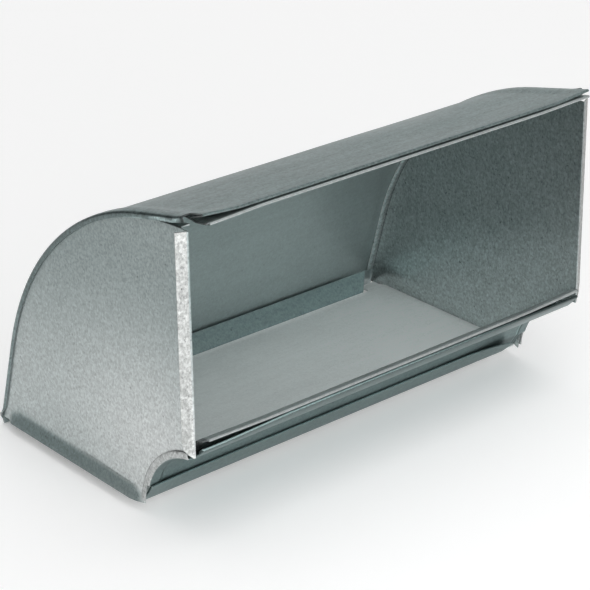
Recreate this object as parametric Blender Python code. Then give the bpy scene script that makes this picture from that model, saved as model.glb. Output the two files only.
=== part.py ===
"""Trough feeder: a folded galvanised sheet-steel trough with a quarter-round hood.

Frame: +X along the trough, -Y the open front, +Z up; the foot of the rear wall is z = 0.
Sub-parts are sheets bent from one thickness; each is drawn as its middle surface and thickened.
Sections are written in millimetres about the pivot corner under the front lip (y back, z up).
"""
import bpy
import math

# ---- driving dimensions, millimetres -------------------------------------------------
SHEET = 0.7                # sheet thickness
LENGTH = 300.0             # outside face to outside face of the end panels
LAP = 1.0                  # middle-surface spacing of two folded layers (0.3 mm clear)

# hood: raked rear wall, round back, straight rising top
HOOD_RADIUS = 169.15       # middle surface of the round back
HOOD_CENTRE = (7.4, 9.2)
WALL_ANGLE = 14.8          # where the rear wall leaves the round, degrees above level
TOP_ANGLE = 77.0           # where the straight top leaves the round
NOSE_Y = 0.0               # front edge of the hood
FOOT_Z = -6.2              # bottom of the rear wall, below the floor
HEM_WIDTH = 8.0
JOGGLE_HEIGHT = 1.0        # the end zones of the hood stand proud by this much
JOGGLE_START = 136.5
JOGGLE_END = 143.9
RIM_X = 150.75             # hood rim turned down over the end panels
RIM_DEPTH = 3.2
NOSE_LIFT = 2.2            # how far the nose opens upward at its ends
LIFT_START = 118.0
NOTCH_X = 145.8            # the front corners of the hood are notched out
NOTCH_Y = 8.5

# end panels
PANEL_X = LENGTH / 2 - SHEET / 2
PANEL_TOP = 177.6          # top of the straight front edge
PANEL_LOW = 48.0           # lower end of the front edge
FRONT_RAKE = 5.5           # the front edge leans back by this much at the top
FLANGE_WIDTH = 7.0
FLANGE_FOLD = 26.0         # how far the front flange is folded back past square, degrees
SEAM_FLANGE_X = 144.1      # inner edge of the flange under the hood
ARCH_FLANGE_X = 144.2      # inner edge of the flange over the cove
ARCH_FLANGE_START = 0.18   # the cove flange starts above the floor strip
ARCH_FLANGE_END = 0.86     # both seam flanges stop short of the front edge
SEAM_FLANGE_END = 0.99
FLARE_OUT = 3.0            # bottom edge of the panel kicks out
FLARE_HEIGHT = 11.0
FLARE_RISE = 2.0           # the flared edge rises toward the rear
CORNER_CUT = 1.4           # rounding of the front top corner

# cove (scotia) under the lip
COVE_RADIUS = 45.35
COVE_LOW = 3.0             # degrees
COVE_LAP = 17.2            # below this the cove laps down behind the floor strip
COVE_HIGH = 80.0
COVE_STEP_X = 142.2        # the end zones of the cove start here
COVE_END_STEP = 0.65       # and are set forward by this much
COLLAR_X = 150.65          # cove edge turned over the outer faces of the end panels
COLLAR_DEPTH = 4.0
LIP_LEFT_X = 147.6         # reach of the hemmed nose under the lip
LIP_RIGHT_X = 146.0
NOSE_RISE = 1.5            # the nose rises by this much away from the left end

# floor pan
FLOOR_Z = 0.35             # middle surface of the floor
FLOOR_X = 149.0            # half width, before following the kicked panel edges
EDGE_FOLLOW = 0.85
STRIP_Y = 50.0             # fold line of the front strip
STRIP_WIDTH = 15.0
STRIP_LEAN = 32.0          # lean of the strip at mid length, degrees from upright
STRIP_LEFT_LEAN = 2.0      # added at the left end
STRIP_RIGHT_LEAN = 14.0    # added at the right end, which is bent outward
STRIP_RIGHT_X = 136.0      # the strip stops short of the right end
BEND_Y = 172.0             # fold line of the rear upstand
UPSTAND_TOP = (180.2, 11.4)
UPSTAND_LOW_X = 131.0
UPSTAND_TOP_X = 140.0
TONGUE_X = 136.0
TONGUE_Y = 180.8

# lip channels
TOP_CHANNEL_X = 143.5
CHANNEL_LEFT_X = 148.4
CHANNEL_RIGHT_X = 146.0
CHANNEL_LAP_X = 143.0      # half width of the hidden legs

# where the section origin sits in the shared frame
SHIFT_Y = -92.4
SHIFT_Z = 6.4


# ---- small helpers -------------------------------------------------------------------
def clear_objects():
    """Start from an empty file."""
    for obj in list(bpy.data.objects):
        bpy.data.objects.remove(obj, do_unlink=True)


def metal(name, colour, roughness):
    """A plain metallic material."""
    mat = bpy.data.materials.new(name)
    mat.use_nodes = True
    shader = mat.node_tree.nodes["Principled BSDF"]
    shader.inputs["Base Color"].default_value = (*colour, 1.0)
    shader.inputs["Roughness"].default_value = roughness
    shader.inputs["Metallic"].default_value = 1.0
    return mat


def smooth(value):
    """Soft step from 0 to 1."""
    value = min(1.0, max(0.0, value))
    return value * value * (3.0 - 2.0 * value)


def world(x, y, z):
    """Section millimetres to metres in the shared frame."""
    return (x * 0.001, (y + SHIFT_Y) * 0.001, (z + SHIFT_Z) * 0.001)


def polar(centre, radius, degrees):
    """Point on a circle in the section plane."""
    turn = math.radians(degrees)
    return (centre[0] + radius * math.cos(turn), centre[1] + radius * math.sin(turn))


def shifted(point, direction, distance):
    """Move a section point along a direction."""
    return (point[0] + direction[0] * distance, point[1] + direction[1] * distance)


def fold_back(end, travel, side, width, steps=6):
    """Points of a flat hem: round the end of a leg and run back along it."""
    centre = shifted(end, side, LAP / 2)
    points = []
    for i in range(1, steps + 1):
        turn = math.pi * i / steps
        arc = shifted(centre, side, -math.cos(turn) * LAP / 2)
        points.append(shifted(arc, travel, math.sin(turn) * LAP / 2))
    points.append(shifted(points[-1], travel, -width))
    return points


def sheet_object(name, points, faces, material):
    """Thicken a middle surface into one closed body."""
    mesh = bpy.data.meshes.new(name)
    mesh.from_pydata([world(*p) for p in points], [], faces)
    mesh.materials.append(material)
    for poly in mesh.polygons:
        poly.use_smooth = True
    mesh.set_sharp_from_angle(angle=math.radians(35.0))
    obj = bpy.data.objects.new(name, mesh)
    bpy.context.scene.collection.objects.link(obj)
    thick = obj.modifiers.new("thickness", "SOLIDIFY")
    thick.thickness = SHEET * 0.001
    thick.offset = 0.0
    thick.use_even_offset = False
    thick.use_quality_normals = True
    obj.modifiers.new("triangles", "TRIANGULATE")
    return obj


def grid_faces(row_total, count, keep=None):
    """Quads of a grid of rows, leaving out the cells that keep() turns down."""
    faces = []
    for r in range(row_total - 1):
        for c in range(count - 1):
            if keep is None or keep(r, c):
                a = r * count + c
                faces.append((a, a + 1, a + count + 1, a + count))
    return faces


def used_only(points, faces):
    """Drop the points that no face uses."""
    used = sorted({i for face in faces for i in face})
    place = {old: new for new, old in enumerate(used)}
    return [points[i] for i in used], [tuple(place[i] for i in face) for face in faces]


def grid_object(name, rows, material, keep=None):
    """A sheet whose middle surface is a grid of rows."""
    points = [p for row in rows for p in row]
    faces = grid_faces(len(rows), len(rows[0]), keep)
    points, faces = used_only(points, faces)
    return sheet_object(name, points, faces, material)


# ---- hood ----------------------------------------------------------------------------
def hood_directions(degrees):
    """Outward normal and upward travel on the hood at an angle of the round."""
    turn = math.radians(degrees)
    return (math.cos(turn), math.sin(turn)), (-math.sin(turn), math.cos(turn))


def wall_point(z):
    """Point of the raked rear wall at a height."""
    travel = hood_directions(WALL_ANGLE)[1]
    base = polar(HOOD_CENTRE, HOOD_RADIUS, WALL_ANGLE)
    return shifted(base, travel, (z - base[1]) / travel[1])


def top_point(y):
    """Point of the straight rising top at a depth."""
    travel = hood_directions(TOP_ANGLE)[1]
    base = polar(HOOD_CENTRE, HOOD_RADIUS, TOP_ANGLE)
    return shifted(base, travel, (y - base[0]) / travel[0])


def hood_section():
    """Middle line of the hood from the foot hem to the nose hem, with normals and weights."""
    section = []
    normal, travel = hood_directions(WALL_ANGLE)
    foot = fold_back(wall_point(FOOT_Z + LAP / 2), (-travel[0], -travel[1]), normal, HEM_WIDTH)
    for point in reversed(foot):
        section.append((point, normal, 0.0))
    for z, weight in ((FOOT_Z + LAP / 2, 0.0), (2.0, 0.0), (5.0, 0.5), (8.0, 1.0), (30.0, 1.0)):
        section.append((wall_point(z), normal, weight))
    steps = 14
    for i in range(steps + 1):
        angle = WALL_ANGLE + (TOP_ANGLE - WALL_ANGLE) * i / steps
        normal, travel = hood_directions(angle)
        section.append((polar(HOOD_CENTRE, HOOD_RADIUS, angle), normal, 1.0))
    for y, weight in ((30.0, 1.0), (18.0, 1.0), (NOTCH_Y, 1.0), (4.5, 0.5), (1.0, 0.0), (NOSE_Y, 0.0)):
        section.append((top_point(y), normal, weight))
    under = (-normal[0], -normal[1])
    for point in fold_back(top_point(NOSE_Y), travel, under, HEM_WIDTH):
        section.append((point, normal, 0.0))
    return section


def rim_trim(y, z):
    """How far the ends of the hood are cut back at the nose and at the foot."""
    nose = 2.6 * smooth((5.0 - y) / 7.0)
    foot = 3.4 * smooth((1.5 - z) / 7.0)
    return nose + foot


def nose_lift(x, y):
    """Upward opening of the nose toward its ends."""
    along = smooth((abs(x) - LIFT_START) / (LENGTH / 2 - LIFT_START))
    across = smooth((16.0 - y) / 18.0)
    return NOSE_LIFT * along * across


def hood_columns():
    """Columns across the hood: place, joggle share and how far the rim is turned down."""
    ends = ((JOGGLE_START, 0.0, 0.0), (JOGGLE_END, 1.0, 0.0), (NOTCH_X, 1.0, 0.0), (149.2, 1.0, 0.12),
            (RIM_X - 0.35, 1.0, 0.7), (RIM_X, 1.0, 1.5), (RIM_X, 1.0, RIM_DEPTH))
    middle = [(x, 0.0, 0.0) for x in (-128.0, -114.0, -60.0, 0.0, 60.0, 114.0, 128.0)]
    return [(-x, joggle, down) for x, joggle, down in reversed(ends)] + middle + list(ends)


def end_shift(x, down, weight, point):
    """Sideways place of a column in the end zones of the hood."""
    if abs(x) <= JOGGLE_END:
        return x
    span = (abs(x) - JOGGLE_END) / (RIM_X - JOGGLE_END)
    spread = (1.0 - weight) * down * 0.35
    trim = rim_trim(*point) * span * (1.0 - weight)
    return math.copysign(abs(x) + spread - trim, x)


def build_hood(material):
    """Round back, raked rear wall and top, with joggled and turned ends and notched corners."""
    columns = hood_columns()
    section = hood_section()
    rows = []
    for point, normal, weight in section:
        row = []
        for x, joggle, down in columns:
            y, z = shifted(point, normal, (JOGGLE_HEIGHT * joggle - down) * weight)
            row.append((end_shift(x, down, weight, point), y, z + nose_lift(x, y)))
        rows.append(row)
    top_rows = {i for i, (point, normal, weight) in enumerate(section) if point[1] > 100.0 and point[0] <= NOTCH_Y}

    def keep(r, c):
        middle = abs(columns[c][0] + columns[c + 1][0]) / 2
        return middle < NOTCH_X or r not in top_rows

    grid_object("hood_shell", rows, material, keep)


# ---- end panels ----------------------------------------------------------------------
def front_edge(z):
    """Depth of the raked front edge at a height."""
    return FRONT_RAKE * (z - PANEL_LOW) / (PANEL_TOP - PANEL_LOW)


def edge_bottom(y):
    """Height of the flared lower edge."""
    return FLARE_RISE * max(0.0, y - 52.0) / 126.0


def flare(y, z):
    """Outward kick of the lower edge between the flat corner tongues."""
    along = smooth((y - 51.0) / 2.5) * smooth((179.0 - y - 0.6 * z) / 6.0)
    fade = 1.0 - 0.3 * (y - 52.0) / 126.0
    rise = max(0.0, 1.0 - (z - edge_bottom(y)) / FLARE_HEIGHT)
    return FLARE_OUT * along * fade * rise ** 1.3


def hood_edge(share):
    """Panel corner curve under the hood, from the rear foot (0) to the front top (1)."""
    wall = 0.30
    if share < wall:
        return wall_point(52.4 * share / wall)
    turn = 0.86
    if share < turn:
        return polar(HOOD_CENTRE, HOOD_RADIUS, WALL_ANGLE + (88.0 - WALL_ANGLE) * 0.80 * (share - wall) / 0.56)
    start = polar(HOOD_CENTRE, HOOD_RADIUS, WALL_ANGLE + (88.0 - WALL_ANGLE) * 0.80)
    end = (FRONT_RAKE, PANEL_TOP)
    part = (share - turn) / (1.0 - turn)
    bow = 1.2 * math.sin(math.pi * part)
    return (start[0] + (end[0] - start[0]) * part, start[1] + (end[1] - start[1]) * part + bow)


def arch_edge(share):
    """Panel corner curve over the cove, from the floor (0) to the lower front corner (1)."""
    return polar((0.0, 0.0), COVE_RADIUS + SHEET + 0.35, 1.0 + 86.0 * share)


def panel_rows():
    """Shares of the fan of rows, closer together at the floor and at the front edge."""
    low = [0.0, 0.012, 0.026, 0.042, 0.06]
    middle = [0.06 + 0.90 * i / 15 for i in range(1, 16)]
    return low + middle + [0.985, 1.0]


def corner_cut(share):
    """How much the rows near the front edge are shortened at the top."""
    return CORNER_CUT * smooth((share - 0.965) / 0.035) ** 2


def panel_grid(side):
    """Fan of rows from the cove arch to the hood curve, each with its two seam flanges."""
    bend = 0.9
    rows = []
    shares = panel_rows()
    for share in shares:
        low = arch_edge(share)
        high = hood_edge(share)
        if share <= 0.06:
            height = 10.0 * share / 0.06
            low = (math.sqrt((COVE_RADIUS + SHEET + 0.35) ** 2 - height ** 2), height)
            high = wall_point(height)
        span = math.dist(low, high)
        ray = ((high[0] - low[0]) / span, (high[1] - low[1]) / span)
        span -= corner_cut(share)
        high = shifted(low, ray, span)
        row = []
        for x in (ARCH_FLANGE_X, PANEL_X - bend):
            row.append((side * x, low[0], low[1]))
        count = 12
        for i in range(count + 1):
            reach = bend * 0.7 + (span - bend * 1.4) * i / count
            y, z = shifted(low, ray, reach)
            row.append((side * (PANEL_X + flare(y, z)), y, z))
        for x in (PANEL_X - bend, SEAM_FLANGE_X):
            row.append((side * x, high[0], high[1]))
        rows.append(row)
    return rows


def build_panel_sheet(name, side, material):
    """Join the fan of rows with the folded front flange."""
    rows = panel_grid(side)
    count = len(rows[0])
    points = [p for row in rows for p in row]
    shares = panel_rows()

    def keep(r, c):
        low_free = c >= 2 or (shares[r] >= ARCH_FLANGE_START - 0.001 and shares[r + 1] <= ARCH_FLANGE_END)
        high_free = c < count - 3 or (shares[r] >= 0.06 and shares[r + 1] <= SEAM_FLANGE_END)
        return low_free and high_free

    faces = grid_faces(len(rows), count, keep)
    fold = math.radians(FLANGE_FOLD)
    first = (len(rows) - 1) * count
    outer = []
    for c in range(2, count - 2):
        x, y, z = points[first + c]
        low_cut = smooth((z - PANEL_LOW + 1.0) / 7.0)
        width = max(FLANGE_WIDTH * low_cut, 1.2)
        outer.append(len(points))
        points.append((x + side * width * math.cos(fold), y + width * math.sin(fold), z))
    for i in range(len(outer) - 1):
        a = first + 2 + i
        faces.append((a, a + 1, outer[i + 1], outer[i]))
    points, faces = used_only(points, faces)
    sheet_object(name, points, faces, material)


# ---- floor pan -----------------------------------------------------------------------
def strip_lean(x):
    """Lean of the front strip, opening outward toward its ends."""
    if x > 0:
        return math.radians(STRIP_LEAN + STRIP_RIGHT_LEAN * (x / STRIP_RIGHT_X) ** 8)
    return math.radians(STRIP_LEAN + STRIP_LEFT_LEAN * (x / FLOOR_X) ** 8)


def floor_edge(x, y):
    """Place of a floor point; the two side edges follow the kicked panels."""
    if abs(x) < FLOOR_X:
        return x
    return math.copysign(abs(x) + EDGE_FOLLOW * flare(y, FLOOR_Z), x)


def strip_point(x, reach, turn):
    """Point of the front strip at a distance from its fold."""
    lean = strip_lean(x)
    y = STRIP_Y - reach * math.sin(lean) * turn
    z = FLOOR_Z + reach * math.cos(lean) * turn + 0.25 * (1.0 - turn)
    return (x, y, z)


def build_floor(material):
    """Floor with a leaning front strip, a rear upstand and two flat corner tongues."""
    columns = [-FLOOR_X, -144.5, -140.0, -TONGUE_X, -UPSTAND_LOW_X, -120.0, -100.0, -75.0, -40.0, 0.0]
    columns += [-x for x in reversed(columns[:-1])]
    depths = [STRIP_Y + 0.7, 60.0, 100.0, 140.0, 162.0, BEND_Y]
    points = []
    faces = []
    count = len(columns)
    for y in depths:
        points += [(floor_edge(x, y), y, FLOOR_Z) for x in columns]
    for r in range(len(depths) - 1):
        for c in range(count - 1):
            a = r * count + c
            faces.append((a, a + 1, a + count + 1, a + count))
    strip = [c for c in range(count) if columns[c] <= STRIP_RIGHT_X]
    previous = strip
    for reach, turn in ((0.7, 0.45), (STRIP_WIDTH * 0.5, 1.0), (STRIP_WIDTH, 1.0)):
        current = []
        for c in strip:
            current.append(len(points))
            points.append(strip_point(columns[c], reach, turn))
        for i in range(len(current) - 1):
            faces.append((previous[i + 1], previous[i], current[i], current[i + 1]))
        previous = current
    back = (len(depths) - 1) * count
    flap = [c for c in range(count) if abs(columns[c]) <= UPSTAND_LOW_X]
    previous = [back + c for c in flap]
    for part in (0.5, 1.0):
        current = []
        for c in flap:
            x = columns[c]
            if abs(x) >= UPSTAND_LOW_X:
                x = math.copysign(UPSTAND_LOW_X + (UPSTAND_TOP_X - UPSTAND_LOW_X) * part, x)
            y = BEND_Y + (UPSTAND_TOP[0] - BEND_Y) * part
            z = FLOOR_Z + (UPSTAND_TOP[1] - FLOOR_Z) * part
            current.append(len(points))
            points.append((x, y, z))
        for i in range(len(current) - 1):
            faces.append((previous[i], previous[i + 1], current[i + 1], current[i]))
        previous = current
    for sign in (-1, 1):
        tongue = [c for c in range(count) if sign * columns[c] >= TONGUE_X]
        current = []
        for c in tongue:
            current.append(len(points))
            points.append((columns[c], TONGUE_Y, FLOOR_Z))
        for i in range(len(tongue) - 1):
            faces.append((back + tongue[i], back + tongue[i + 1], current[i + 1], current[i]))
    sheet_object("floor_pan", points, faces, material)


# ---- cove and lip channels -----------------------------------------------------------
def lap_point(reach):
    """Point behind the front strip of the floor, one layer back from it."""
    lean = math.radians(STRIP_LEAN)
    foot = (STRIP_Y, FLOOR_Z)
    along = shifted(foot, (-math.sin(lean), math.cos(lean)), reach)
    return shifted(along, (math.cos(lean), math.sin(lean)), LAP + 0.1)


def cove_section():
    """Middle line of the cove: point, lapped point, normal and kind of row."""
    section = []
    for angle, reach in ((COVE_LOW, 2.5), (8.0, 7.2), (12.6, 12.0)):
        turn = math.radians(angle)
        normal = (math.cos(turn), math.sin(turn))
        section.append((polar((0.0, 0.0), COVE_RADIUS, angle), lap_point(reach), normal, "lap"))
    steps = 11
    for i in range(steps + 1):
        angle = COVE_LAP + (COVE_HIGH - COVE_LAP) * i / steps
        turn = math.radians(angle)
        normal = (math.cos(turn), math.sin(turn))
        point = polar((0.0, 0.0), COVE_RADIUS, angle)
        section.append((point, point, normal, "arc"))
    root = (4.6, 46.2)
    nose = (-2.2, 52.4)
    length = math.dist(root, nose)
    travel = ((nose[0] - root[0]) / length, (nose[1] - root[1]) / length)
    up = (travel[1], -travel[0])
    for point in [root, nose] + fold_back(nose, travel, up, 4.5):
        section.append((point, point, up, "lip"))
    return section


def cove_columns():
    """Columns across the cove: place and how far the sheet is set out."""
    columns = []
    for side, lip in ((-1, LIP_LEFT_X), (1, LIP_RIGHT_X)):
        ends = ((140.0, 0.0), (COVE_STEP_X, 0.0), (JOGGLE_END, -COVE_END_STEP), (lip, -COVE_END_STEP),
                (149.5, -COVE_END_STEP), (COLLAR_X, 0.5), (COLLAR_X, COLLAR_DEPTH))
        columns += [(side * x, n) for x, n in (reversed(ends) if side < 0 else ends)]
        if side < 0:
            columns += [(x, 0.0) for x in (-120.0, -80.0, -40.0, 0.0, 40.0, 80.0, 120.0)]
    return columns


def build_cove(material):
    """Cove sheet with collars turned over the end panels and a hemmed nose."""
    columns = cove_columns()
    section = cove_section()
    rows = []
    for point, lapped, normal, kind in section:
        row = []
        for x, n in columns:
            behind = kind == "lap" and abs(x) <= LIP_LEFT_X
            base = lapped if behind else point
            y, z = shifted(base, normal, 0.0 if kind == "lip" or behind else n)
            rise = NOSE_RISE * smooth((x + 138.0) / 60.0) * smooth((3.0 - y) / 5.0) if kind == "lip" else 0.0
            row.append((x, y, z + rise))
        rows.append(row)
    last = len(columns) - 1

    def keep(r, c):
        if section[r + 1][3] == "lip":
            return 3 <= c < last - 3
        if section[r][3] == "lap":
            return c in (0, last - 1) or 3 <= c < last - 3
        return True

    grid_object("cove_front", rows, material, keep)


def build_bottom_channel(material):
    """Upper leg of the lower lip: hemmed nose, landing, and a leg lapped down the cove."""
    radius = COVE_RADIUS + SHEET + 0.35
    nose = (-2.0, 57.2)
    landing = list(reversed(fold_back(nose, (-1.0, 0.0), (0.0, -1.0), 4.0)))
    landing += [nose, (1.4, 56.8), (3.2, 55.4), (9.4, 48.6)]
    leg = [polar((0.0, 0.0), radius, angle) for angle in (72.0, 65.0, 58.0, 51.0)]
    rows = []
    for index, (y, z) in enumerate(landing + leg):
        row = []
        for share in (-1.0, -0.9, -0.75, -0.4, 0.0, 0.4, 0.75, 0.9, 1.0):
            reach = CHANNEL_RIGHT_X if share > 0 else CHANNEL_LEFT_X
            x = share * (reach if index < len(landing) else CHANNEL_LAP_X)
            lift = (1.3 if x > 0 else 0.9) * smooth((abs(x) - 95.0) / 53.0)
            row.append((x, y, z + (lift if index < len(landing) - 1 else 0.0)))
        rows.append(row)
    grid_object("bottom_lip_channel", rows, material)


def build_top_channel(material):
    """Lower leg of the upper lip: hemmed nose and a leg lapped up under the hood top."""
    nose = (-1.2, 182.2)
    section = list(reversed(fold_back(nose, (-1.0, 0.0), (0.0, -1.0), 6.0)))
    section += [nose, (6.0, 180.6), (11.0, 179.6)]
    for y in (16.0, 24.0, 32.0):
        top = top_point(y)
        section.append((top[0], top[1] - LAP - 0.05))
    rows = []
    for index, (y, z) in enumerate(section):
        droop = -1.2 if index < 9 else 0.0
        row = []
        for share in (-1.0, -0.97, -0.9, -0.75, -0.4, 0.0, 0.4, 0.75, 0.9, 0.97, 1.0):
            x = share * (TOP_CHANNEL_X if index < 9 else CHANNEL_LAP_X)
            row.append((x, y, z + droop * smooth((abs(x) - 100.0) / 44.0)))
        rows.append(row)
    grid_object("top_lip_channel", rows, material)


# ---- assembly ------------------------------------------------------------------------
def main():
    """Build every sub-part in place."""
    clear_objects()
    build_hood(metal("galvanised_hood", (0.46, 0.50, 0.50), 0.38))
    build_panel_sheet("left_end_panel", -1, metal("galvanised_left_end", (0.56, 0.59, 0.59), 0.48))
    build_panel_sheet("right_end_panel", 1, metal("galvanised_right_end", (0.55, 0.58, 0.58), 0.48))
    build_floor(metal("galvanised_floor", (0.50, 0.54, 0.54), 0.36))
    build_cove(metal("galvanised_cove", (0.47, 0.51, 0.51), 0.36))
    build_bottom_channel(metal("galvanised_bottom_lip", (0.60, 0.62, 0.62), 0.34))
    build_top_channel(metal("galvanised_top_lip", (0.60, 0.62, 0.62), 0.34))


main()
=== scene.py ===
"""Trough feeder in folded galvanised sheet steel: detailed pieces over the CAD frame.

Sections are in millimetres about the centre of the cove's round (y back, z up); place() moves them
into the shared frame in metres. Each sheet is drawn as its middle surface and thickened afterwards.
"""
import math

import bpy
from mathutils import Matrix, Vector, noise


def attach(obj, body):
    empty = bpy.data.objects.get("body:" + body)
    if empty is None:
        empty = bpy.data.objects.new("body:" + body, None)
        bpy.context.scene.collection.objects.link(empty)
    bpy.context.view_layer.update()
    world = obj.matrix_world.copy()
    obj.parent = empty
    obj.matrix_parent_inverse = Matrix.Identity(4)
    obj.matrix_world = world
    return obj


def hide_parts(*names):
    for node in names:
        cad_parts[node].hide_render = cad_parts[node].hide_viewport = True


# ---- shared dimensions, millimetres ----
SHEET = 0.7              # thickness of every sheet
LAP = 1.0                # between the middles of two layers that lap
CLEARANCE = 0.35         # between a sheet and the one it fits over
SHIFT_Y = -92.4          # from the section's origin to the shared frame
SHIFT_Z = 6.4

# ---- hood ----
HOOD_RADIUS = 169.15
HOOD_CENTRE = (7.4, 9.2)
WALL_ANGLE = 14.8        # where the straight rear wall meets the round
TOP_ANGLE = 77.0         # where the round meets the straight top
ROUND_STEPS = 30
NOSE_Y = 0.0
FOOT_Z = -6.2
HEM_WIDTH = 8.0
JOGGLE_HEIGHT = 1.0      # the ends step outward over the panels' seam flanges
JOGGLE_START = 136.5
JOGGLE_END = 143.9
JOGGLE_EASE = 1.8
RIM_X = 150.75           # outer side of the turned rim
RIM_DEPTH = 3.2
CRIMP_PITCH = 6.4
NOSE_LIFT = 2.2          # the nose opens upward toward both ends
LIFT_START = 118.0
LIFT_END = 150.0
NOSE_HEM_X = 145.6       # the hem of the nose stops here at the left
NOTCH_X = 145.8          # the front corners are notched out past this
NOTCH_Y = 8.5

# ---- end panels ----
PANEL_X = 149.65
PANEL_TOP = 177.6
PANEL_LOW = 48.0
PANEL_BEND = 0.9
CORNER_CUT = 1.4
FRONT_RAKE = 5.5
FLANGE_WIDTH = 7.0
FLANGE_LEAST = 1.2       # width left at the cut lower end
FLANGE_FOLD = 26.0       # degrees that it leans back from square
FLANGE_Y = 9.0           # it lies in front of this
FLANGE_LIGHT_X = 150.6    # and its painted light starts here
SEAM_FLANGE_X = 144.1
ARCH_FLANGE_X = 144.2
FLARE_OUT = 3.0          # outward kick of the lower edge
FLARE_HEIGHT = 11.0
FLARE_RISE = 2.0
FLARE_START = 52.0
FLARE_RUN = 126.0
LOW_SHARE = 0.06         # share of the fan of rows that stands on the floor
LOW_HEIGHT = 10.0
WALL_SHARE = 0.30        # shares of the corner curve that reach the end of the wall
TURN_SHARE = 0.86        # and the end of the round
WALL_HIGH = 52.4
ROUND_HIGH = 88.0
ROUND_USED = 0.80

# ---- cove and lower lip ----
COVE_RADIUS = 45.35
COVE_LAP = 17.2
COVE_HIGH = 80.0
COVE_STEPS = 26
COVE_END_STEP = 0.65     # the ends step inward between crease and collar
CREASE_X = 142.45
CREASE_FOOT_X = 143.4
COLLAR_X = 150.65
LIP_X = 147.6            # the cove's nose ends here at the left
LIP_RIGHT_X = 146.0      # and both legs of the lower lip here at the right
LAP_X = 148.5
LIP_ROOT = (4.6, 46.2)
LIP_NOSE = (-2.2, 52.4)
LIP_HEM = 4.5
LIP_RISE = 1.5           # the nose rises away from the left end
ARCH_RADIUS = COVE_RADIUS + SHEET + CLEARANCE

# ---- floor pan ----
FLOOR_Z = 0.35
FLOOR_X = 149.0
EDGE_FOLLOW = 0.92       # share of the panels' kick that the side edges follow
STRIP_Y = 50.0
STRIP_WIDTH = 15.0
STRIP_BEND = 1.6
STRIP_LEAN = 32.0
STRIP_LEFT_LEAN = 2.0    # further lean at the left end
STRIP_RIGHT_LEAN = 14.0  # and at the right end
STRIP_RIGHT_X = 136.0    # where the strip stops short
BEND_Y = 172.0
UPSTAND_TOP = (180.2, 11.4)
UPSTAND_LOW_X = 131.0
UPSTAND_TOP_X = 140.0
TONGUE_X = 136.0
TONGUE_Y = 180.8

# ---- lip channels ----
LOWER_CHANNEL_X = 148.4
LOWER_HEM_X = 144.0
UPPER_CHANNEL_X = 143.5
UPPER_RIGHT_X = 145.6    # the upper lip runs further at the right
UPPER_HEM_X = 141.0
UPPER_LEG_Y = 9.0        # its leg takes the narrower width of the lap behind this
CHANNEL_LAP_X = 142.8
CRUMPLE = 0.7

# ---- finish ----
CREASE_SHADE_TONE = 0.12        # what full painted crease shade leaves of a colour
SHARP_ANGLE = 40.0

# ---- camera ----
CAMERA_AT = (-0.7790, -0.8801, 0.6131)
CAMERA_TURN = 41.51
CAMERA_DIP = 24.70
CAMERA_ROLL = 0.279
CAMERA_LENS = 132.46
SENSOR_WIDTH = 36.0

# ---- soft surround: azimuth and elevation in degrees, sharpness, strength ----
LOBES = (
    (45.0, 8.0, 8.0, 0.64),
    (90.0, 42.0, 8.0, 0.38),
    (150.0, 42.0, 8.0, 0.40),
    (210.0, 42.0, 8.0, 2.15),
    (0.0, 88.0, 8.0, 1.95),
)
PALE = 0.93              # what the camera sees of the surround
PAPER_GLOW = 0.16        # and what it sees added to the paper
STAGE_SIZE = 6.0
STAGE_DROP = 0.0002

# ---- soft box: name, place, aim, width, height, power ----
BOXES = (
    ("front_low", (-0.25, -0.75, 0.16), (-0.10, -0.09, 0.08), 0.60, 0.25, 2.1),
)

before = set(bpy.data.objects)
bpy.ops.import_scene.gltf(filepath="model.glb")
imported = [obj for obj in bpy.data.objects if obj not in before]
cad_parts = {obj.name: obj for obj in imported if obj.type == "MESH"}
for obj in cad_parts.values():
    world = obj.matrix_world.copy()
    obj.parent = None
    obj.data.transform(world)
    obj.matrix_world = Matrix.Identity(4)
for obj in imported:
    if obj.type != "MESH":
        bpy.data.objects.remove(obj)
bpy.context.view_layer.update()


# ---- helpers ----
def smooth(value):
    """Soft step from 0 to 1."""
    value = min(1.0, max(0.0, value))
    return value * value * (3.0 - 2.0 * value)


def place(x, y, z):
    """Section millimetres to metres in the shared frame."""
    return (x * 0.001, (y + SHIFT_Y) * 0.001, (z + SHIFT_Z) * 0.001)


def polar(centre, radius, degrees):
    """Point on a circle in the section plane."""
    turn = math.radians(degrees)
    return (centre[0] + radius * math.cos(turn), centre[1] + radius * math.sin(turn))


def shifted(point, direction, distance):
    """Move a section point along a direction."""
    return (point[0] + direction[0] * distance, point[1] + direction[1] * distance)


def ripple(x, y, z, size, seed):
    """Smooth repeatable noise from -1 to 1 with features of a size in millimetres."""
    return noise.noise(Vector((x / size + seed, y / size - seed * 1.7, z / size + seed * 0.6)))


def fold_back(end, travel, side, width, steps=8):
    """Points of a flat hem: round the end of a leg and run back along it."""
    centre = shifted(end, side, LAP / 2)
    points = []
    for i in range(1, steps + 1):
        turn = math.pi * i / steps
        arc = shifted(centre, side, -math.cos(turn) * LAP / 2)
        points.append(shifted(arc, travel, math.sin(turn) * LAP / 2))
    last = points[-1]
    for share in (0.35, 0.7, 1.0):
        points.append(shifted(last, travel, -width * share))
    return points


def spaced(start, end, count):
    """Evenly spaced numbers, both ends included."""
    return [start + (end - start) * i / (count - 1) for i in range(count)]


def mirrored(half):
    """Columns for both sides from those of the right side, given from the middle outward."""
    left = [tuple([-c[0]] + list(c[1:])) for c in reversed(half) if c[0] > 0]
    return left + list(half)


def grid_faces(row_total, count, keep=None):
    """Quads of a grid of rows, leaving out the cells that keep() turns down."""
    faces = []
    for r in range(row_total - 1):
        for c in range(count - 1):
            if keep is None or keep(r, c):
                a = r * count + c
                faces.append((a, a + 1, a + count + 1, a + count))
    return faces


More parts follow.
